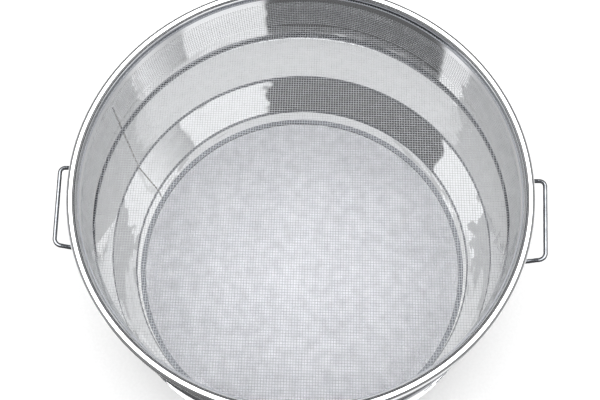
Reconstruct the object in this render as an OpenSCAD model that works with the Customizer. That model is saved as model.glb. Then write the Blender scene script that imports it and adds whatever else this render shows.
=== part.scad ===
// Double sieve strainer for honey.
// A shallow coarse sieve hangs by its rolled rim inside the mouth of a deep fine sieve.
// Millimetres, +Z up, the origin is the centre of the face that the fine sieve stands on.

/* [Mouth] */
// Inside diameter of the coarse sieve's rim band
mouth_d = 320; // [260:1:400]
// Height from the standing face to the top of the rim
total_h = 196; // [165:1:240]

/* [Sheet] */
// Thickness of the rim band and of the drum
sheet_t = 0.6; // [0.5:0.05:0.7]
// Thickness of the shoulder and of the collar
lower_sheet_t = 0.8; // [0.6:0.05:1]

/* [Rims] */
// Section diameter of the coarse sieve's rolled edge
coarse_roll_d = 6.4; // [5:0.1:8]
// Section diameter of the drum's rolled edge
drum_roll_d = 5.4; // [4.5:0.1:7]
// Gap between each rolled edge and the wire inside it
wire_gap = 0.05; // [0.02:0.01:0.2]
// Height of the rim band below the middle of its rolled edge
band_h = 19; // [12:0.5:24]
// Radial clearance between the rim band and the drum
nest_gap = 0.35; // [0.3:0.05:1]
// Height of the coarse rolled edge above the drum's
rest_gap = 0.05; // [0.03:0.01:0.2]

/* [Coarse basket] */
// Depth of the basket below the middle of the rim
basket_depth = 38; // [30:0.5:46]
// How far the mesh wall draws in at its bottom
basket_taper = 3; // [1:0.1:6]
// Thickness of the coarse mesh, two wires
coarse_mesh_t = 1; // [0.8:0.1:1.4]
// Height of the band that clamps the mesh
clamp_band_h = 5.5; // [3:0.5:8]
// Thickness of the band that clamps the mesh
clamp_band_t = 0.8; // [0.5:0.1:1.2]

/* [Drum] */
// Depth of the bead's middle below the middle of the rim
bead_drop = 61.5; // [54:0.5:70]
// Height of the bead
bead_h = 8.8; // [6:0.1:10]
// Depth of the bead, rolled outwards
bead_depth = 2.4; // [1:0.1:3]

/* [Shoulder] */
// Height of the drum's lower edge
drum_bottom_z = 62; // [54:0.5:70]
// Height of the shoulder's lower bend
neck_top_z = 19.2; // [17:0.1:24]
// How far the shoulder narrows in, from the drum's outside to the neck's inside
shoulder_step = 13.75; // [8:0.25:30]
// Height of the lap that holds the drum's lower edge
lap_h = 6; // [3:0.5:9]

/* [Bottom] */
// Height of the collar round the neck
collar_h = 14; // [10:0.5:16]
// Width of the flange under the fine mesh, measured from the neck's inside
flange_w = 10.8; // [8:0.1:14]
// Thickness of the fine mesh
fine_mesh_t = 0.6; // [0.4:0.05:0.8]
// Clearance round the fine mesh inside the collar
fine_mesh_gap = 0.1; // [0.05:0.05:0.5]
// Width of the clamping ring
clamp_w = 4.4; // [3:0.1:6]
// Height of the clamping ring
clamp_h = 2; // [1.2:0.1:3]

/* [Handles] */
// Diameter of the handle wire
handle_wire_d = 3.2; // [2.5:0.1:5]
// Length of the handle between the middles of its legs
handle_l = 62; // [48:1:80]
// Reach of the handle from the drum, along its own slope
handle_reach = 22; // [18:0.5:32]
// Depth of the handle's welds below the middle of the rim
handle_drop = 41; // [36:0.5:48]
// Angle at which the handle rises outwards
handle_rise = 24; // [0:1:40]
// Angle at which each leg opens towards the drum
leg_splay = 5; // [0:0.5:10]
// Bend radius of the handle's corners
bend_r = 5; // [4:0.5:8]
// How far each handle sits forward of the diameter
handle_forward = 4; // [0:0.5:10]
// Width of each weld bead on the wall, beyond the wire's radius
weld_w = 1.8; // [1:0.1:3]
// Height of each weld bead along its leg
weld_h = 2.8; // [1.5:0.1:4]
// Thickness of each weld bead at its top
weld_lip = 0.3; // [0.2:0.05:0.6]

/* [Weld seams] */
// Direction of the lengthwise seam from +X
seam_angle = 156; // [30:1:165]
// Width of the seam
seam_w = 1.4; // [0.8:0.1:3]
// Height of the seam above the inside of the sheet
seam_h = 0.25; // [0.1:0.05:0.4]

/* [Hidden] */

$fn = 128;

// Radii, from the mouth outwards and then down
mouth_r = mouth_d / 2;
band_r = mouth_r + sheet_t;
drum_r = band_r + nest_gap;
drum_out_r = drum_r + sheet_t;
lap_r = drum_out_r + lower_sheet_t;
basket_r = mouth_r - basket_taper;
neck_r = drum_out_r - shoulder_step;
neck_out_r = neck_r + lower_sheet_t;
collar_r = neck_out_r + lower_sheet_t;
flange_r = neck_r - flange_w;

// Rolled edges: section radius and the height of the section's middle
coarse_roll_r = coarse_roll_d / 2;
drum_roll_r = drum_roll_d / 2;
rim_z = total_h - coarse_roll_r;
drum_rim_z = rim_z - coarse_roll_r - rest_gap - drum_roll_r;

// Heights
band_z = rim_z - band_h;
basket_z = rim_z - basket_depth;
mesh_top_z = rim_z - coarse_roll_r;
bead_z = rim_z - bead_drop;
handle_z = rim_z - handle_drop;
mesh_bed_z = lower_sheet_t;
neck_bottom_z = mesh_bed_z + fine_mesh_t;

// The bead is an arc of this radius on the inside of the sheet
bead_r = (bead_h * bead_h / 4 + bead_depth * bead_depth) / (2 * bead_depth);
// A sheet's outer face drops by this much at each bend of the shoulder
shoulder_slope = atan(shoulder_step / (drum_bottom_z - neck_top_z));
mitre_z = lower_sheet_t * tan(shoulder_slope / 2);
// The wire turns through this angle at each corner of a handle
corner_turn = 90 - leg_splay;
corner_run = bend_r * tan(corner_turn / 2);
// A leg runs on this far behind the drum's face, where it is cut to the round wall
leg_spare = 9;
// Swell of the wire at each end of a bend
swell_h = 0.03;

// Half of a rolled sheet edge: a wall that ends in a tube which opens outwards
module rolled_edge_profile(inner_r, wall_t, roll_r, low_z, roll_z) {
    translate([inner_r, low_z]) square([wall_t, roll_z - low_z]);
    translate([inner_r + roll_r, roll_z]) difference() {
        circle(r = roll_r);
        circle(r = roll_r - wall_t);
    }
}

// A hoop of round wire
module hoop(middle_r, wire_r, z) {
    rotate_extrude()
        translate([middle_r, z]) circle(r = wire_r);
}

// A band with square edges
module band(inner_r, outer_r, low_z, high_z) {
    rotate_extrude()
        translate([inner_r, low_z]) square([outer_r - inner_r, high_z - low_z]);
}

module coarse_rim_band() {
    color("gainsboro")
        rotate_extrude()
            rolled_edge_profile(mouth_r, sheet_t, coarse_roll_r, band_z, rim_z);
}

module coarse_rim_wire() {
    color("darkgray")
        hoop(mouth_r + coarse_roll_r, coarse_roll_r - sheet_t - wire_gap, rim_z);
}

// The mesh follows the band and draws in below it
module coarse_mesh_wall() {
    color("silver")
        rotate_extrude()
            polygon([
                [mouth_r, mesh_top_z], [mouth_r, band_z], [basket_r, basket_z],
                [basket_r - coarse_mesh_t, basket_z], [mouth_r - coarse_mesh_t, band_z],
                [mouth_r - coarse_mesh_t, mesh_top_z]
            ]);
}

module coarse_mesh_bottom() {
    color("silver")
        translate([0, 0, basket_z])
            cylinder(r = basket_r - coarse_mesh_t, h = coarse_mesh_t);
}

module coarse_mesh_clamp_band() {
    color("darkgray")
        band(mouth_r - coarse_mesh_t - clamp_band_t, mouth_r - coarse_mesh_t,
             mesh_top_z - clamp_band_h, mesh_top_z);
}

// The drum's sheet runs up into its rolled edge and out round the bead
module drum_wall() {
    color("lightgray")
        rotate_extrude() difference() {
            union() {
                rolled_edge_profile(drum_r, sheet_t, drum_roll_r, drum_bottom_z, drum_rim_z);
                intersection() {
                    translate([drum_r + bead_depth - bead_r, bead_z])
                        circle(r = bead_r + sheet_t);
                    translate([drum_r, bead_z - bead_h])
                        square([bead_depth + 2 * sheet_t, 2 * bead_h]);
                }
            }
            translate([drum_r + bead_depth - bead_r, bead_z]) circle(r = bead_r);
        }
}

module drum_rim_wire() {
    color("darkgray")
        hoop(drum_r + drum_roll_r, drum_roll_r - sheet_t - wire_gap, drum_rim_z);
}

// A strip of weld metal on the inside of a sheet, from its lower to its upper radius
module seam_strip(low_r, low_z, high_r, high_z) {
    half_turn = seam_w / drum_r * 90 / PI;
    rotate([0, 0, seam_angle - half_turn])
        rotate_extrude(angle = 2 * half_turn)
            polygon([
                [low_r - seam_h, low_z], [low_r, low_z],
                [high_r, high_z], [high_r - seam_h, high_z]
            ]);
}

// The seam is ground flush across the bead and behind the rim band
module drum_weld_seam() {
    color("gray") {
        seam_strip(drum_r, drum_bottom_z, drum_r, bead_z - bead_h / 2);
        seam_strip(drum_r, bead_z + bead_h / 2, drum_r, band_z - 2);
    }
}

// A lap outside the drum, the cone, and the neck that stands on the fine mesh
module shoulder_cone() {
    color("lightgray")
        rotate_extrude()
            polygon([
                [drum_out_r, drum_bottom_z + lap_h], [drum_out_r, drum_bottom_z],
                [neck_r, neck_top_z], [neck_r, neck_bottom_z],
                [neck_out_r, neck_bottom_z], [neck_out_r, neck_top_z - mitre_z],
                [lap_r, drum_bottom_z - mitre_z], [lap_r, drum_bottom_z + lap_h]
            ]);
}

module shoulder_weld_seam() {
    color("gray") {
        seam_strip(neck_r, neck_top_z, drum_out_r, drum_bottom_z);
        seam_strip(neck_r, neck_bottom_z + clamp_h, neck_r, neck_top_z);
    }
}

module mesh_collar() {
    color("lightgray")
        rotate_extrude()
            polygon([
                [flange_r, 0], [collar_r, 0], [collar_r, collar_h],
                [neck_out_r, collar_h], [neck_out_r, mesh_bed_z], [flange_r, mesh_bed_z]
            ]);
}

module mesh_clamp_ring() {
    color("gray")
        band(neck_r - clamp_w, neck_r, neck_bottom_z, neck_bottom_z + clamp_h);
}

module fine_mesh_bottom() {
    color("whitesmoke")
        translate([0, 0, mesh_bed_z])
            cylinder(r = neck_out_r - fine_mesh_gap, h = fine_mesh_t);
}

// Puts what is drawn in the handle's own plane on the drum, at its height and slope
module at_drum(direction) {
    rotate([0, 0, direction])
        translate([drum_out_r, 0, handle_z])
            rotate([0, -handle_rise, 0])
                children();
}

// Where a straight length meets a bend the wire swells by a hair, which makes them one
module swell() {
    sphere(d = handle_wire_d + 2 * swell_h);
}

// A straight length of the wire that starts at the origin and runs along +Y
module straight(run) {
    swell();
    translate([0, swell_h, 0])
        rotate([-90, 0, 0])
            cylinder(d = handle_wire_d, h = run - swell_h);
}

// The round corner and the leg, which runs on to behind the drum's face
module corner_and_leg() {
    run = (handle_reach - bend_r + bend_r * cos(corner_turn) + leg_spare) / sin(corner_turn);
    rotate_extrude(angle = corner_turn)
        translate([bend_r, 0]) circle(d = handle_wire_d);
    rotate([0, 0, corner_turn])
        translate([bend_r, 0, 0])
            straight(run);
}

// One half of the handle: half of the grip, the corner and the leg
module handle_half() {
    grip = handle_l / 2 - corner_run;
    translate([handle_reach, grip, 0])
        mirror([0, 1, 0]) straight(grip + swell_h);
    translate([handle_reach - bend_r, grip, 0]) corner_and_leg();
}

// What the drum takes up, drawn finely because small beads are cut to it
module drum_space() {
    translate([0, 0, drum_bottom_z])
        cylinder(r = drum_out_r, h = drum_rim_z - drum_bottom_z, $fn = 720);
}

module handle(direction) {
    color("lightsteelblue")
        difference() {
            at_drum(direction) {
                handle_half();
                mirror([0, 1, 0]) handle_half();
            }
            drum_space();
        }
}

// A bead of weld round a leg, widest at the wall
module weld_bead() {
    foot_v = handle_l / 2 + handle_reach * tan(leg_splay);
    foot_u = (sqrt(drum_out_r * drum_out_r - foot_v * foot_v) - drum_out_r)
             / cos(handle_rise);
    translate([foot_u, handle_l / 2 + (handle_reach - foot_u) * tan(leg_splay), 0])
        rotate([0, 0, -leg_splay])
            rotate([0, 90, 0])
                translate([0, 0, -weld_w])
                    cylinder(r1 = handle_wire_d / 2 + weld_w, r2 = handle_wire_d / 2 + weld_lip,
                             h = weld_h + weld_w);
}

module handle_welds(direction) {
    color("dimgray")
        difference() {
            at_drum(direction) {
                weld_bead();
                mirror([0, 1, 0]) weld_bead();
            }
            at_drum(direction) {
                handle_half();
                mirror([0, 1, 0]) handle_half();
            }
            drum_space();
        }
}

module handle_left() { handle(180 + handle_forward); }
module handle_right() { handle(-handle_forward); }
module handle_left_welds() { handle_welds(180 + handle_forward); }
module handle_right_welds() { handle_welds(-handle_forward); }

coarse_rim_band();
coarse_rim_wire();
coarse_mesh_wall();
coarse_mesh_bottom();
coarse_mesh_clamp_band();
drum_wall();
drum_rim_wire();
drum_weld_seam();
shoulder_cone();
shoulder_weld_seam();
mesh_collar();
mesh_clamp_ring();
fine_mesh_bottom();
handle_left();
handle_right();
handle_left_welds();
handle_right_welds();
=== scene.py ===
# %% [markdown]
# # A double sieve for honey
# Honey is poured through a shallow basket of coarse mesh that hangs in the mouth of a deeper
# drum with a fine mesh bottom. The drum, the rims, the handles and the welds come from the
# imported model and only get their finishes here. The two meshes are woven here wire by wire,
# because the weave is what makes a sieve, and a flat sheet with a pattern has no holes in it.

# %% Load the model
import math

import bpy
import numpy as np
from mathutils import Matrix, Vector


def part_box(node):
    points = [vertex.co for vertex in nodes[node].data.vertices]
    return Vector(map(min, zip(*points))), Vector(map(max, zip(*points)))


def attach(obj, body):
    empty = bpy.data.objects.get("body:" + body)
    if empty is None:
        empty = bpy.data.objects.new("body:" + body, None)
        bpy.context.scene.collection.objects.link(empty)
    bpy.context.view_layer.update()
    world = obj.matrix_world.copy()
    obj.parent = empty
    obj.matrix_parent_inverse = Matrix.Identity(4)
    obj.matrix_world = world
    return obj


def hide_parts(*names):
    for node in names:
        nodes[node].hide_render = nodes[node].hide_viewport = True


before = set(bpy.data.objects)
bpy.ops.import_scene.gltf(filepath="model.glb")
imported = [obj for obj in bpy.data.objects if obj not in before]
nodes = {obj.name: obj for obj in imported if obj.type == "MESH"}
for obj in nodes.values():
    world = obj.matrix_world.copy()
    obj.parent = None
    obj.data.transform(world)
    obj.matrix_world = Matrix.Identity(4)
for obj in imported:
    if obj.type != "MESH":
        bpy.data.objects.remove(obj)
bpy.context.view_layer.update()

# %% [markdown]
# ## Where things are
# Sizes could be typed in again here, but then they would drift from the model. Each place is
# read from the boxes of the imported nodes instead, so the looks follow the model.

# %% Radii and heights
MM = 0.001


def outer_radius(node):
    """Radius of a round node, from its box."""
    low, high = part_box(node)
    return (high.x - low.x) / 2


def heights(node):
    """Lowest and highest point of a node."""
    low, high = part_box(node)
    return low.z, high.z


basket_low, basket_floor_top = heights("coarse_mesh_bottom")
basket_floor_r = outer_radius("coarse_mesh_bottom")
mesh_wall_r = outer_radius("coarse_mesh_wall")
mesh_wall_top = heights("coarse_mesh_wall")[1]
band_low = heights("coarse_rim_band")[0]
fine_low, fine_top = heights("fine_mesh_bottom")
fine_r = outer_radius("fine_mesh_bottom")
print("basket floor r %.1f mm, fine mesh r %.1f mm" % (basket_floor_r / MM, fine_r / MM))

# %% [markdown]
# ## The camera
# It looks steeply down into the mouth, from a little to the right of the front. It could be
# aimed with a tracking constraint, but a matrix built from the line of sight also holds the
# small roll of a camera in the hand.

# %% Camera
aim_point = Vector((0.46, -16.02, 192.8)) * MM
camera_distance = 600 * MM
camera_azimuth = math.radians(-3.15)
camera_elevation = math.radians(67.58)
camera_roll = math.radians(-1.256)

looking = Vector((
    math.sin(camera_azimuth) * math.cos(camera_elevation),
    math.cos(camera_azimuth) * math.cos(camera_elevation),
    -math.sin(camera_elevation),
))
level = looking.cross(Vector((0, 0, 1))).normalized()
right = level * math.cos(camera_roll) + level.cross(looking) * math.sin(camera_roll)
up = right.cross(looking)

camera = bpy.data.objects.new("camera", bpy.data.cameras.new("camera"))
bpy.context.scene.collection.objects.link(camera)
camera.data.sensor_width = 36
camera.data.lens = 51
camera.data.clip_start = 10 * MM
camera.data.clip_end = 50
camera.matrix_world = Matrix.Translation(aim_point - looking * camera_distance) @ Matrix(
    (right, up, -looking)
).transposed().to_4x4()
bpy.context.scene.camera = camera
print("camera at mm:", [round(v / MM) for v in camera.matrix_world.translation])

# %% [markdown]
# ## Helpers for materials
# Colours are written as sRGB hex, as a painter's chart gives them, and one function turns
# them to the linear values that the renderer adds up. One function adds any node.

# %% Colours and nodes


def linear(hex_colour):
    """sRGB hex to linear RGBA."""
    parts = [int(hex_colour[i:i + 2], 16) / 255 for i in (1, 3, 5)]
    return [c / 12.92 if c <= 0.04045 else ((c + 0.055) / 1.055) ** 2.4 for c in parts] + [1]


def add(tree, kind, inputs=None, **settings):
    """Adds a node, sets its settings, and sets or links its inputs by name or number."""
    node = tree.nodes.new(kind)
    for name, value in settings.items():
        setattr(node, name, value)
    for name, value in (inputs or {}).items():
        if isinstance(value, bpy.types.NodeSocket):
            tree.links.new(value, node.inputs[name])
        else:
            node.inputs[name].default_value = value
    return node


def new_material(name):
    """An empty node tree with its output, as (material, tree, output)."""
    material = bpy.data.materials.new(name)
    material.use_nodes = True
    material.node_tree.nodes.clear()
    return material, material.node_tree, add(material.node_tree, "ShaderNodeOutputMaterial")


# %% [markdown]
# Everything on a rolled drum runs round it. Plain X, Y, Z coordinates would cut across the
# sheet, so the patterns use the length of arc round the axis, the height, and the radius.

# %% Coordinates that follow the drum
ARC_RADIUS = 160 * MM


def around(tree, arc, rise):
    """Coordinates round the axis and up it, one unit for each arc and rise in metres."""
    place = add(tree, "ShaderNodeTexCoord").outputs["Object"]
    xyz = add(tree, "ShaderNodeSeparateXYZ", {0: place})
    turn = add(tree, "ShaderNodeMath", {0: xyz.outputs["Y"], 1: xyz.outputs["X"]},
               operation="ARCTAN2")
    radius = add(tree, "ShaderNodeVectorMath",
                 {0: place, 1: (1, 1, 0)}, operation="MULTIPLY")
    radius = add(tree, "ShaderNodeVectorMath", {0: radius.outputs[0]}, operation="LENGTH")
    along = add(tree, "ShaderNodeMath", {0: turn.outputs[0], 1: ARC_RADIUS / arc},
                operation="MULTIPLY")
    up_it = add(tree, "ShaderNodeMath", {0: xyz.outputs["Z"], 1: 1 / rise},
                operation="MULTIPLY")
    out = add(tree, "ShaderNodeMath", {0: radius.outputs["Value"], 1: 1 / rise},
              operation="MULTIPLY")
    return add(tree, "ShaderNodeCombineXYZ",
               {0: along.outputs[0], 1: up_it.outputs[0], 2: out.outputs[0]}).outputs[0]


def spread(tree, value, low, high):
    """Maps noise, which lies near 0.3 to 0.7, onto low to high."""
    return add(tree, "ShaderNodeMapRange",
               {"Value": value, "From Min": 0.3, "From Max": 0.7,
                "To Min": low, "To Max": high}).outputs["Result"]


# %% [markdown]
# ## Polished stainless sheet
# The drum, the shoulder and the collar are rolled from bright stainless sheet. Rolling and
# polishing leave hair lines that run round the drum, so a reflection stays sharp sideways and
# smears up and down. One roughness for all directions can't do that; an anisotropic metal can.
# Its colour is steel's, a little darker in the polish marks, and large soft dents from the
# rollers bend the reflections.

# %% Marks in the sheet
HAIR_LENGTH, HAIR_SPACING = 60 * MM, 0.4 * MM
HAIR_DEPTH = 0.01 * MM
WIPE_LENGTH, WIPE_HEIGHT = 50 * MM, 30 * MM
DENT_LENGTH, DENT_HEIGHT = 30 * MM, 16 * MM
DENT_DEPTH = 0.6 * MM
ANISOTROPY = 0.6
QUARTER_TURN = 0.25
SHEET_MIRROR = (0.03, 0.06)

# %% [markdown]
# In the creases, on the bead and on the clamp strip's top edge the steel is made rougher and
# painted darker in a ring: painted shade in the creases and at the edge, and a painted dark
# reflection on the bead. A separate strip of geometry would have an edge that can be seen,
# so the ring is mixed into the sheet's own material by height.

# %% Rings of painted shade
RING_FADE = 0.2 * MM


def with_painted_shade_ring(tree, height, colour, rough, ring):
    """The colour and roughness with a painted shade ring (lowest, highest, colour, roughness)
    mixed in.
    """
    low, high, tone, dull_rough = ring
    above = add(tree, "ShaderNodeMapRange",
                {"Value": height, "From Min": low - RING_FADE, "From Max": low + RING_FADE})
    below = add(tree, "ShaderNodeMapRange",
                {"Value": height, "From Min": high + RING_FADE, "From Max": high - RING_FADE})
    inside = add(tree, "ShaderNodeMath",
                 {0: above.outputs["Result"], 1: below.outputs["Result"]},
                 operation="MULTIPLY").outputs[0]
    colour = add(tree, "ShaderNodeMix", {"Factor": inside, "A": colour, "B": linear(tone)},
                 data_type="RGBA").outputs["Result"]
    rough = add(tree, "ShaderNodeMix", {"Factor": inside, "A": rough, "B": dull_rough},
                data_type="FLOAT").outputs["Result"]
    return colour, rough


# %% Sheet steel


def polished_sheet(name, light, dark, roughness, grain, dent, rings=()):
    """Sheet between two colours; grain and dent say how strong the hair lines and dents are."""
    material, tree, output = new_material(name)
    lines = add(tree, "ShaderNodeTexNoise",
                {"Vector": around(tree, HAIR_LENGTH, HAIR_SPACING), "Scale": 1.0, "Detail": 3.0})
    wipes = add(tree, "ShaderNodeTexNoise",
                {"Vector": around(tree, WIPE_LENGTH, WIPE_HEIGHT), "Scale": 1.0, "Detail": 4.0})
    rolls = add(tree, "ShaderNodeTexNoise",
                {"Vector": around(tree, DENT_LENGTH, DENT_HEIGHT), "Scale": 1.0, "Detail": 1.0})
    colour = add(tree, "ShaderNodeMix",
                 {"Factor": spread(tree, lines.outputs["Fac"], 0, 1),
                  "A": linear(light), "B": linear(dark)}, data_type="RGBA")
    colour = add(tree, "ShaderNodeMix",
                 {"Factor": spread(tree, wipes.outputs["Fac"], 0, 0.35),
                  "A": colour.outputs["Result"], "B": linear(dark)},
                 data_type="RGBA").outputs["Result"]
    rough = add(tree, "ShaderNodeMath",
                {0: spread(tree, wipes.outputs["Fac"], *roughness),
                 1: spread(tree, lines.outputs["Fac"], -0.01, 0.015)},
                operation="ADD").outputs[0]
    height = add(tree, "ShaderNodeSeparateXYZ",
                 {0: add(tree, "ShaderNodeTexCoord").outputs["Object"]}).outputs["Z"]
    for ring in rings:
        colour, rough = with_painted_shade_ring(tree, height, colour, rough, ring)
    dents = add(tree, "ShaderNodeBump",
                {"Height": rolls.outputs["Fac"], "Distance": DENT_DEPTH * dent, "Strength": 1.0})
    bump = add(tree, "ShaderNodeBump",
               {"Height": lines.outputs["Fac"], "Distance": HAIR_DEPTH * grain,
                "Strength": 1.0, "Normal": dents.outputs[0]})
    tangent = add(tree, "ShaderNodeTangent", direction_type="RADIAL", axis="Z")
    steel = add(tree, "ShaderNodeBsdfPrincipled",
                {"Base Color": colour, "Metallic": 1.0, "Roughness": rough,
                 "Anisotropic": ANISOTROPY, "Anisotropic Rotation": QUARTER_TURN,
                 "Normal": bump.outputs[0], "Tangent": tangent.outputs[0]})
    tree.links.new(steel.outputs[0], output.inputs["Surface"])
    return material


# %% [markdown]
# The rings of painted shade and painted reflection lie where the drum's skin stands out in a
# bead, at the drum's foot where the shoulder laps round it, at the bend from shoulder to neck,
# and on the sheared top edge of the strip that clamps the coarse mesh. Their heights are read
# from the nodes' boxes and points.

# %% Heights of the rings
# The skin of the drum ends where the lap begins, and the bead stands out past it
lap_r = outer_radius("shoulder_cone") - 0.7 * MM
skin = np.array([v.co for v in nodes["drum_wall"].data.vertices])
proud = (np.hypot(skin[:, 0], skin[:, 1]) > lap_r) & (skin[:, 2] < band_low)
bead_low, bead_high = skin[proud, 2].min(), skin[proud, 2].max()
drum_foot = heights("drum_wall")[0]
# The bend is the lowest ring of points above the collar
collar_top = heights("mesh_collar")[1]
shoulder_z = np.array([v.co.z for v in nodes["shoulder_cone"].data.vertices])
neck_bend = shoulder_z[shoulder_z > collar_top].min()
strip_top = heights("coarse_mesh_clamp_band")[1]
print("bead %.1f to %.1f mm, drum foot %.1f mm, neck bend %.1f mm" % tuple(
    round(z / MM, 1) for z in (bead_low, bead_high, drum_foot, neck_bend)))

# %% The drum and the shoulder
# Painted shade: the drum's foot, the lap and the neck bend are painted darker where shade falls
# in the creases, and made rougher.
CREASE_SHADE, CREASE_ROUGH = "#7c7e82", 0.35
# Painted reflection: the bead is painted a darker grey for the dark surroundings it mirrors, and
# made rougher.
bead_reflection_ring = (bead_low, bead_high, "#a2a4a8", 0.25)
foot_shade_ring = (drum_foot - MM, drum_foot + 2.5 * MM, CREASE_SHADE, CREASE_ROUGH)
lap_shade_ring = (drum_foot - 2.4 * MM, drum_foot, CREASE_SHADE, CREASE_ROUGH)
bend_shade_ring = (neck_bend - 0.3 * MM, neck_bend + 3.2 * MM, "#808286", CREASE_ROUGH)
drum_steel = polished_sheet("polished_drum_sheet", "#e2e3e5", "#d8d9db", SHEET_MIRROR,
                            0.08, 0.3, [bead_reflection_ring, foot_shade_ring])
shoulder_steel = polished_sheet("polished_shoulder_sheet", "#e2e3e5", "#d8d9db", SHEET_MIRROR,
                                0.08, 1.6, [lap_shade_ring, bend_shade_ring])
print("drum and shoulder:", len(drum_steel.node_tree.nodes), "nodes each")

# %% The rim, the clamping strips and the collar
# Painted shade: the clamp strip's top edge is painted dark where shade falls in the gap under
# the rim, and made rougher.
edge_shade_ring = (strip_top - 0.3 * MM, strip_top + MM, "#6c6e72", 0.4)
rim_steel = polished_sheet("bright_rim_sheet", "#e6e7e8", "#dadbdd", SHEET_MIRROR, 0.08, 0.1)
strip_steel = polished_sheet("bright_clamp_strip", "#dcdddf", "#cfd0d3", (0.1, 0.16),
                             0.2, 0.1, [edge_shade_ring])
collar_steel = polished_sheet("plain_collar_sheet", "#d6d7da", "#bdbfc3", (0.28, 0.38),
                              0.5, 0.3)
# Painted shade: the clamp ring's steel is painted dark grey for the shade at the edge of the
# fine mesh; it is also rougher.
clamp_steel = polished_sheet("shaded_clamp_strip", "#6c6e72", "#56585c", (0.4, 0.5), 1.0, 0.3)
print("rim, strip, collar and clamp ring finished")

# %% [markdown]
# ## Drawn wire
# The handles are bent from bright drawn wire, and the meshes are woven from it. The die and the
# bending tool scuff it a little, so its gloss and its tone change along its length. A noise in
# the wire's own space gives that without any unwrapping. Woven wire is duller than a handle,
# because each crossing has been pinched, and fine wire looks dullest of all.

# %% Wire steel
SCUFF_DEPTH = 0.003


def drawn_wire(name, light, dark, roughness, patch):
    """Wire between two colours, with scuffs of the size patch in metres."""
    material, tree, output = new_material(name)
    place = add(tree, "ShaderNodeTexCoord").outputs["Object"]
    scuff = add(tree, "ShaderNodeTexNoise",
                {"Vector": place, "Scale": 1 / patch, "Detail": 4.0})
    fine = add(tree, "ShaderNodeTexNoise",
               {"Vector": place, "Scale": 8 / patch, "Detail": 2.0})
    colour = add(tree, "ShaderNodeMix",
                 {"Factor": spread(tree, scuff.outputs["Fac"], 0, 1),
                  "A": linear(light), "B": linear(dark)}, data_type="RGBA")
    bump = add(tree, "ShaderNodeBump",
               {"Height": fine.outputs["Fac"], "Distance": SCUFF_DEPTH * patch,
                "Strength": 0.5})
    steel = add(tree, "ShaderNodeBsdfPrincipled",
                {"Base Color": colour.outputs["Result"], "Metallic": 1.0,
                 "Roughness": spread(tree, scuff.outputs["Fac"], *roughness),
                 "Normal": bump.outputs[0]})
    tree.links.new(steel.outputs[0], output.inputs["Surface"])
    return material


handle_steel = drawn_wire("bright_drawn_wire", "#94969a", "#7a7c80", (0.08, 0.16), 4 * MM)
core_steel = drawn_wire("galvanised_core_wire", "#b9bcc0", "#9a9da2", (0.35, 0.5), 3 * MM)
coarse_wire_steel = drawn_wire("woven_coarse_wire", "#b4b6b9", "#a2a4a7", (0.3, 0.4), 6 * MM)
fine_wire_steel = drawn_wire("woven_fine_wire", "#e9e9ed", "#dcdce0", (0.65, 0.8), 10 * MM)
print("wire finishes made")

# %% [markdown]
# ## Welds
# The seams and the handles are TIG welded. The bead sets in overlapping ripples a millimetre
# apart, and its heat leaves a thin straw oxide that scrubbing never quite removes. Ripples could
# be modelled one by one, but at this size a smooth cell pattern used as bump reads the same.

# %% Weld metal
HEAT_SPOTS_PER_METRE = 300


def weld_metal(name, ripple, light, heated, dark):
    """Weld bead with ripples that far apart in metres, straw coloured where it was hottest."""
    material, tree, output = new_material(name)
    place = add(tree, "ShaderNodeTexCoord").outputs["Object"]
    ripples = add(tree, "ShaderNodeTexVoronoi",
                  {"Vector": place, "Scale": 1 / ripple}, feature="SMOOTH_F1")
    heat = add(tree, "ShaderNodeTexNoise",
               {"Vector": place, "Scale": HEAT_SPOTS_PER_METRE, "Detail": 3.0})
    tint = add(tree, "ShaderNodeValToRGB", {"Fac": heat.outputs["Fac"]})
    ramp = tint.color_ramp
    ramp.elements[0].position, ramp.elements[0].color = 0.35, linear(light)
    ramp.elements[1].position, ramp.elements[1].color = 0.65, linear(dark)
    straw = ramp.elements.new(0.5)
    straw.color = linear(heated)
    bump = add(tree, "ShaderNodeBump",
               {"Height": ripples.outputs["Distance"], "Distance": 0.25 * ripple,
                "Strength": 0.8})
    steel = add(tree, "ShaderNodeBsdfPrincipled",
                {"Base Color": tint.outputs["Color"], "Metallic": 1.0,
                 "Roughness": spread(tree, heat.outputs["Fac"], 0.3, 0.5),
                 "Normal": bump.outputs[0]})
    tree.links.new(steel.outputs[0], output.inputs["Surface"])
    return material


bead_metal = weld_metal("handle_weld_bead", MM, "#b4b6ba", "#b5a58c", "#7f8289")
seam_metal = weld_metal("ground_seam", 1.2 * MM, "#a9abae", "#99948c", "#6f7278")
print("weld finishes made")

# %% [markdown]
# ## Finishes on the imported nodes
# These nodes already have the right shape. Each keeps its mesh and only changes its material.

# %% Finish each node
finish_of = {
    "drum_wall": drum_steel,
    "shoulder_cone": shoulder_steel,
    "mesh_collar": collar_steel,
    "coarse_rim_band": rim_steel,
    "coarse_mesh_clamp_band": strip_steel,
    "mesh_clamp_ring": clamp_steel,
    "coarse_rim_wire": core_steel,
    "drum_rim_wire": core_steel,
    "handle_left": handle_steel,
    "handle_right": handle_steel,
    "handle_left_welds": bead_metal,
    "handle_right_welds": bead_metal,
    "drum_weld_seam": seam_metal,
    "shoulder_weld_seam": seam_metal,
}
for node_name, material in finish_of.items():
    nodes[node_name].data.materials.clear()
    nodes[node_name].data.materials.append(material)
print("finished nodes:", len(finish_of))

# %% [markdown]
# ## Woven mesh
# In a plain weave each wire goes over one crossing wire and under the next. A curve with a round
# bevel could draw each wire, but hundreds of wires with hundreds of crossings would be heavy.
# Each wire here is a thin four-sided tube with one ring of points at each crossing, raised or
# lowered by half a wire, and smooth shading rounds it. The wires of one direction are one
# piece, so a mesh is a warp piece and a weft piece, as on the loom.

# %% Tubes from rings of points


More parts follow.
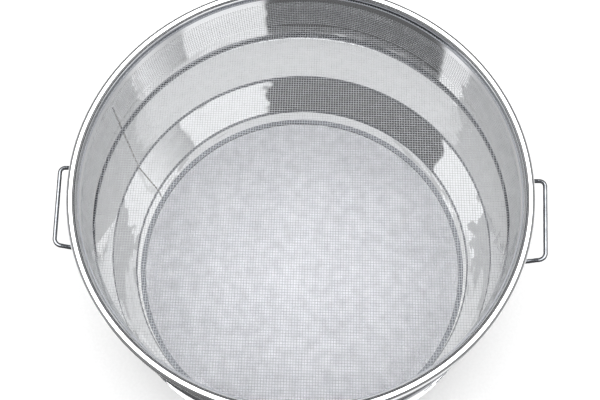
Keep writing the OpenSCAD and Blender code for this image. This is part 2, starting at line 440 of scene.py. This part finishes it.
def tube_piece(name, wires, closed, material):
    """One mesh object from wires; each wire is an array (rings, corners, 3)."""
    corners = wires[0].shape[1]
    points, quads, caps, start = [], [], [], 0
    side = np.arange(corners)
    for rings in wires:
        count = len(rings)
        points.append(rings.reshape(-1, 3))
        here = np.arange(count if closed else count - 1)
        there = (here + 1) % count
        a = start + here[:, None] * corners + side
        b = start + here[:, None] * corners + (side + 1) % corners
        c = start + there[:, None] * corners + (side + 1) % corners
        d = start + there[:, None] * corners + side
        quads.append(np.stack([a, b, c, d], 2).reshape(-1, 4))
        if not closed:
            caps.append(start + side[::-1])
            caps.append(start + (count - 1) * corners + side)
        start += count * corners
    points, quads = np.concatenate(points), np.concatenate(quads)
    corner_list = [quads.ravel()] + ([np.concatenate(caps)] if caps else [])
    sizes = np.concatenate([np.full(len(quads), 4), np.full(len(caps), corners)])
    mesh = bpy.data.meshes.new(name)
    mesh.vertices.add(len(points))
    mesh.vertices.foreach_set("co", points.astype(np.float32).ravel())
    mesh.loops.add(int(sizes.sum()))
    mesh.loops.foreach_set("vertex_index", np.concatenate(corner_list).astype(np.int32))
    mesh.polygons.add(len(sizes))
    mesh.polygons.foreach_set("loop_start", (np.cumsum(sizes) - sizes).astype(np.int32))
    mesh.polygons.foreach_set("use_smooth", np.ones(len(sizes), bool))
    mesh.update(calc_edges=True)
    mesh.validate()
    mesh.materials.append(material)
    piece = bpy.data.objects.new(name, mesh)
    bpy.context.scene.collection.objects.link(piece)
    return piece


def wire_rings(path, across, above, half_width, half_height):
    """Rings of four corners round a path, as an array (rings, 4, 3)."""
    across, above = np.asarray(across, float), np.asarray(above, float)
    offsets = [half_width * across, half_height * above,
               -half_width * across, -half_height * above]
    return np.stack([path + o for o in offsets], 1)


# %% [markdown]
# A round mesh has straight wires that end where they meet the edge, so each wire's length comes
# from its distance to the middle. The crossings lie halfway between multiples of the pitch,
# which keeps the pattern even on both sides of the middle.

# %% A round sheet of mesh


def woven_disc(names, radius, middle, pitch, half_width, half_height, material, body):
    """A flat round mesh; the first piece's wires run along X and the second's along Y."""
    made = []
    count = int(radius / pitch)
    places = (np.arange(-count, count + 1) + 0.5) * pitch
    for direction, name in enumerate(names):
        wires = []
        for i, offset in enumerate(places):
            # The last wire would be shorter than a crossing
            if abs(offset) > radius - pitch / 2:
                continue
            reach = math.sqrt(radius ** 2 - offset ** 2)
            crossing = np.abs(places) < reach - pitch / 4
            along = places[crossing]
            over = np.where((np.flatnonzero(crossing) + i) % 2, 1.0, -1.0)
            over *= -1.0 if direction else 1.0
            along = np.concatenate([[-reach], along, [reach]])
            over = np.concatenate([[0], over, [0]])
            path = np.zeros((len(along), 3))
            path[:, direction] = along
            path[:, 1 - direction] = offset
            path[:, 2] = middle + over * half_height
            across = (1, 0, 0) if direction else (0, -1, 0)
            wires.append(wire_rings(path, across, (0, 0, 1), half_width, half_height))
        piece = tube_piece(name, wires, False, material)
        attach(piece, body)
        made.append(piece)
        print(name, len(wires), "wires", len(piece.data.polygons), "faces")
    return made


# %% [markdown]
# ### The coarse mesh
# Wire about a third of a millimetre thick every 2 mm. The floor is a round sheet. The wall
# stands up from it, opens out a little and then follows the rim band up to the clamp band.

# %% Coarse mesh floor
coarse_pitch = 2.0 * MM
coarse_wire_r = 0.17 * MM
floor_pieces = woven_disc(
    ("coarse_floor_warp", "coarse_floor_weft"), basket_floor_r,
    (basket_low + basket_floor_top) / 2, coarse_pitch, coarse_wire_r, coarse_wire_r,
    coarse_wire_steel, "coarse_sieve")
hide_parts("coarse_mesh_bottom")

# %% [markdown]
# A flat mesh could be bent round with a modifier, but its wires would have to meet at a seam.
# Here the wall is woven in place: hoops that close on themselves, and uprights between them. An
# even number of uprights lets every hoop go over and under all the way round.

# %% The line of the coarse wall
sheet_half = (basket_floor_top - basket_low) / 2
wall_line = np.array([
    [basket_floor_r + sheet_half, basket_low + sheet_half],
    [mesh_wall_r - sheet_half, band_low],
    [mesh_wall_r - sheet_half, mesh_wall_top],
])
wall_steps = np.linalg.norm(np.diff(wall_line, axis=0), axis=1)
wall_length = wall_steps.sum()
hoop_count = int(wall_length / coarse_pitch)
upright_count = 2 * int(math.pi * mesh_wall_r / coarse_pitch)
hoop_marks = (np.arange(hoop_count) + 0.5) * wall_length / hoop_count
upright_turns = (np.arange(upright_count) + 0.5) * 2 * math.pi / upright_count
wall_marks = np.concatenate([[0], np.cumsum(wall_steps)])


def on_wall(mark):
    """Radius and height of the wall's middle surface at a distance up it."""
    return (np.interp(mark, wall_marks, wall_line[:, 0]),
            np.interp(mark, wall_marks, wall_line[:, 1]))


print(hoop_count, "hoops,", upright_count, "uprights")

# %% Hoops of the coarse wall
upwards = np.array([0, 0, 1])
rays = np.stack([np.cos(upright_turns), np.sin(upright_turns), np.zeros(upright_count)], 1)
hoops = []
for i, mark in enumerate(hoop_marks):
    r, z = on_wall(mark)
    over = np.where((np.arange(upright_count) + i) % 2, 1.0, -1.0) * coarse_wire_r
    path = rays * (r + over)[:, None] + z * upwards
    hoops.append(wire_rings(path, upwards, rays, coarse_wire_r, coarse_wire_r))
wall_hoops = tube_piece("coarse_wall_hoops", hoops, True, coarse_wire_steel)

# %% Uprights of the coarse wall
uprights = []
marks = np.concatenate([[0], hoop_marks, [wall_length]])
wall_r, wall_z = on_wall(marks)
for j, turn in enumerate(upright_turns):
    over = np.where((np.arange(hoop_count) + j) % 2, -1.0, 1.0) * coarse_wire_r
    over = np.concatenate([[0], over, [0]])
    ray = np.array([math.cos(turn), math.sin(turn), 0])
    tangent = np.array([-math.sin(turn), math.cos(turn), 0])
    path = (wall_r + over)[:, None] * ray + wall_z[:, None] * upwards
    uprights.append(wire_rings(path, tangent, -ray, coarse_wire_r, coarse_wire_r))
wall_uprights = tube_piece("coarse_wall_uprights", uprights, False, coarse_wire_steel)

# %% The coarse wall rides with the coarse sieve
for piece in (wall_hoops, wall_uprights):
    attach(piece, "coarse_sieve")
    print(piece.name, len(piece.data.polygons), "faces")
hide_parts("coarse_mesh_wall")

# %% [markdown]
# ### The fine mesh
# A real fine sieve has a wire every fraction of a millimetre, too fine to draw here. It is drawn
# with a wire every 1.7 mm, and the wires are flattened so that they cover as much as fine mesh
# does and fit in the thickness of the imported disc.

# %% Fine mesh floor
fine_pitch = 1.7 * MM
fine_half_width = 0.71 * MM
fine_half_height = (fine_top - fine_low) / 4
fine_pieces = woven_disc(
    ("fine_floor_warp", "fine_floor_weft"), fine_r, (fine_low + fine_top) / 2,
    fine_pitch, fine_half_width, fine_half_height, fine_wire_steel, "fine_sieve")
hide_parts("fine_mesh_bottom")

# %% [markdown]
# ## The floor and the backdrop
# The sieve stands on pale card in front of a pale wall. The wall is a wide ring that only the
# camera sees: it gives a clean edge from every side and lights nothing, so the lights below can
# be set for the steel alone.

# %% Pale card
card, tree, output = new_material("pale_card")
tooth = add(tree, "ShaderNodeTexNoise",
            {"Vector": add(tree, "ShaderNodeTexCoord").outputs["Object"],
             "Scale": 400.0, "Detail": 2.0})
shade = add(tree, "ShaderNodeMix",
            {"Factor": spread(tree, tooth.outputs["Fac"], 0, 1),
             "A": linear("#cacaca"), "B": linear("#c6c6c6")}, data_type="RGBA")
paper = add(tree, "ShaderNodeBsdfPrincipled",
            {"Base Color": shade.outputs["Result"], "Roughness": 0.9})
tree.links.new(paper.outputs[0], output.inputs["Surface"])


# %% Floor
def stage_piece(name, corners, faces, material, unseen_by):
    """A staged mesh that the named kinds of ray pass through."""
    mesh = bpy.data.meshes.new(name)
    mesh.from_pydata(corners, [], faces)
    mesh.materials.append(material)
    piece = bpy.data.objects.new(name, mesh)
    bpy.context.scene.collection.objects.link(piece)
    for kind_of_ray in unseen_by:
        setattr(piece, "visible_" + kind_of_ray, False)
    return piece


def flat_piece(name, outline, z, material, unseen_by):
    """A flat staged face with the given outline."""
    corners = [(x, y, z) for x, y in outline]
    return stage_piece(name, corners, [tuple(range(len(corners)))], material, unseen_by)


stage_half = 8.0
flat_piece("floor", [(-stage_half, -stage_half), (stage_half, -stage_half),
                     (stage_half, stage_half), (-stage_half, stage_half)], 0,
           card, ["glossy"])
print("floor", 2 * stage_half, "m wide")

# %% Backdrop
backdrop_white, tree, output = new_material("backdrop_white")
blush = add(tree, "ShaderNodeTexNoise",
            {"Vector": add(tree, "ShaderNodeTexCoord").outputs["Object"], "Scale": 0.5})
glow = add(tree, "ShaderNodeEmission",
           {"Color": linear("#ffffff"), "Strength": spread(tree, blush.outputs["Fac"], 1, 1.02)})
tree.links.new(glow.outputs[0], output.inputs["Surface"])
wall_turns = np.radians(np.arange(0, 360, 10))
count = len(wall_turns)
wall_corners = [(stage_half * math.cos(t), stage_half * math.sin(t), z)
                for z in (0, stage_half) for t in wall_turns]
wall_faces = [(i, (i + 1) % count, count + (i + 1) % count, count + i) for i in range(count)]
stage_piece("backdrop", wall_corners, wall_faces, backdrop_white,
            ["diffuse", "glossy", "transmission", "shadow"])
print("backdrop of", count, "faces")

# %% [markdown]
# ## The light
# Polished steel shows what is round it more than its own colour, so the studio is arranged for
# the steel. A bright roof whitens everything that faces up, and dim walls draw a dark line along
# each round edge. Area lamps could do this one by one, but soft light from all round is simpler
# as one sky. Seen from inside the drum, low light cards stand all round. A dark gap and a grey
# card among them lay a patch each on the steel. Two more cards lie low down under the drum, so
# that the middle of its wall stays light. No reflection could reach such cards past a real
# floor, so the floor, the meshes, the collar and the clamp ring let reflections through.

# %% Let reflections through
for piece in (*floor_pieces, *fine_pieces, wall_hoops, wall_uprights,
              nodes["mesh_collar"], nodes["mesh_clamp_ring"]):
    piece.visible_glossy = False
# Light goes many times from wall to wall in a polished drum
bpy.context.scene.cycles.glossy_bounces = 12

# %% Low light cards under the drum


def glowing_card(name, strength):
    """A plain card of even light."""
    material, tree, output = new_material(name)
    light = add(tree, "ShaderNodeEmission", {"Color": linear("#ffffff"), "Strength": strength})
    tree.links.new(light.outputs[0], output.inputs["Surface"])
    return material


card_level = -150 * MM
only_glossy = ["camera", "diffuse", "transmission", "shadow"]
round_card_r, round_card_y = 60 * MM, 35 * MM
turns = np.radians(np.arange(0, 360, 6))
round_outline = [(round_card_r * math.cos(t), round_card_y + round_card_r * math.sin(t))
                 for t in turns]
flat_piece("round_light_card", round_outline, card_level,
           glowing_card("light_card", 0.95), only_glossy)
back_half, back_near, back_far = 300 * MM, 85 * MM, 300 * MM
flat_piece("back_light_card", [(-back_half, back_near), (back_half, back_near),
                               (back_half, back_far), (-back_half, back_far)], card_level,
           glowing_card("soft_light_card", 0.66), only_glossy)
print("light cards at %.0f mm" % (card_level / MM))

# %% Brightness of the studio
ROOF = 4.5
WALLS, WALLS_SWAY = 0.29, 0.11
CARD, SIDE, GREY, DARK = 1.25, 0.84, 0.6, 0.16
# How bright the low cards are, by degrees round from +X; each stop blends into the next. The
# dark gap comes first and a light card follows it. The next card is grey at its start and
# brightens up to a thin dull line, and the last one fades slowly towards the left side.
EDGE = 1.44
card_stops = [
    (-160 - EDGE, CARD), (-160, DARK), (-73, DARK), (-73 + EDGE, CARD),
    (-31 - EDGE, CARD), (-31, GREY), (-3 - EDGE, CARD),
    (-4, GREY), (-3, SIDE), (-4 + EDGE, CARD),
    (150, SIDE), (150 + EDGE, CARD),
]
# The roof starts where a ray climbs this steeply, the cards where it falls this steeply
ROOF_EDGE = (0.70, 0.78)
CARD_EDGE = (-0.38, -0.30)

# %% The low cards all round
world = bpy.data.worlds.new("studio")
bpy.context.scene.world = world
world.use_nodes = True
sky = world.node_tree
sky.nodes.clear()
xyz = add(sky, "ShaderNodeSeparateXYZ",
          {0: add(sky, "ShaderNodeTexCoord").outputs["Generated"]})
turn = add(sky, "ShaderNodeMath", {0: xyz.outputs["Y"], 1: xyz.outputs["X"]},
           operation="ARCTAN2")
share = add(sky, "ShaderNodeMapRange",
            {"Value": turn.outputs[0], "From Min": -math.pi, "From Max": math.pi})
cards = add(sky, "ShaderNodeValToRGB", {"Fac": share.outputs["Result"]})
ramp = cards.color_ramp
while len(ramp.elements) > 1:
    ramp.elements.remove(ramp.elements[-1])
ramp.elements[0].position = 0.0
ramp.elements[0].color = (CARD, CARD, CARD, 1)
for degrees, tone in card_stops:
    ramp.elements.new((degrees + 180) / 360).color = (tone, tone, tone, 1)
print("ramp stops:", len(ramp.elements))

# %% Walls, roof and sky
# The walls of the studio are paler to the left and right than in front and behind
twice = add(sky, "ShaderNodeMath", {0: turn.outputs[0], 1: 2.0}, operation="MULTIPLY")
sides = add(sky, "ShaderNodeMath", {0: twice.outputs[0]}, operation="COSINE")
walls = add(sky, "ShaderNodeMath", {0: sides.outputs[0], 1: WALLS_SWAY, 2: WALLS},
            operation="MULTIPLY_ADD")
fall = add(sky, "ShaderNodeMapRange",
           {"Value": xyz.outputs["Z"], "From Min": CARD_EDGE[0], "From Max": CARD_EDGE[1],
            "To Min": 1.0, "To Max": 0.0})
low_light = add(sky, "ShaderNodeMix",
                {"Factor": fall.outputs["Result"], "A": walls.outputs[0],
                 "B": cards.outputs["Color"]}, data_type="FLOAT")
climb = add(sky, "ShaderNodeMapRange",
            {"Value": xyz.outputs["Z"], "From Min": ROOF_EDGE[0], "From Max": ROOF_EDGE[1]})
all_light = add(sky, "ShaderNodeMix",
                {"Factor": climb.outputs["Result"], "A": low_light.outputs["Result"],
                 "B": ROOF}, data_type="FLOAT")
glow = add(sky, "ShaderNodeBackground",
           {"Color": linear("#ffffff"), "Strength": all_light.outputs["Result"]})
add(sky, "ShaderNodeOutputWorld", {"Surface": glow.outputs[0]})
# The standard view keeps white card white
bpy.context.scene.view_settings.view_transform = "Standard"
print("sky nodes:", len(sky.nodes))
